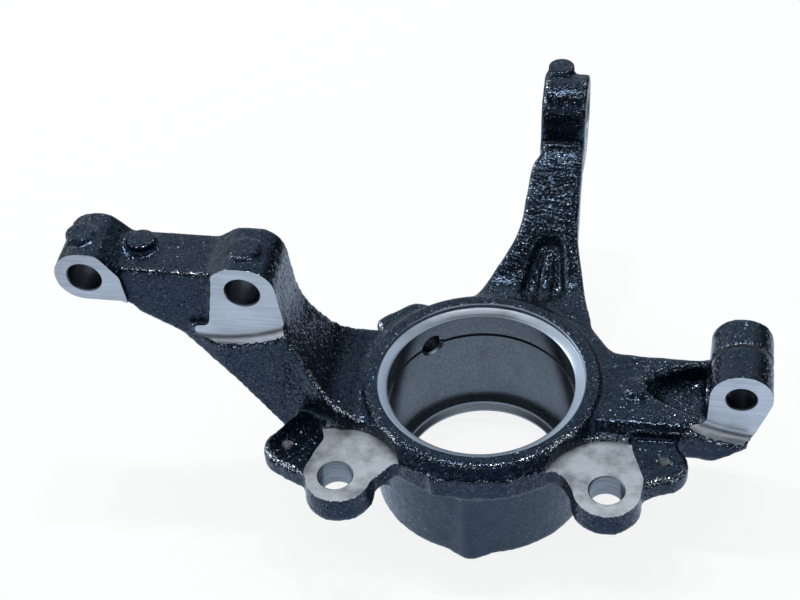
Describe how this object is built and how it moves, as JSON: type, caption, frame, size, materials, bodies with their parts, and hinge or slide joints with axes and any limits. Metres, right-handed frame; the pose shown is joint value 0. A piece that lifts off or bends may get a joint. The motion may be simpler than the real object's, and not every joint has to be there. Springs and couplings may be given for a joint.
{
  "type": "steering knuckle",
  "caption": "Cast iron steering knuckle for a strut front axle: bearing hub, strut ear, steering arm, ball joint clamp and caliper lugs.",
  "frame": {"origin": "centre of the wheel bearing seat, on the bearing axis", "axes": "+Z along the bearing axis towards the middle of the vehicle; +X towards the ball joint (down in the vehicle), -X towards the strut; +Y towards the tie rod boss, -Y towards the brake caliper lugs"},
  "size_m": [0.2933, 0.2303, 0.1317],
  "materials": {
    "casting": "black semi-gloss paint over rough cast skin",
    "machined": "bare milled and bored metal"
  },
  "bodies": {
    "root": {"knuckle": "casting"}
  },
  "joints": []
}
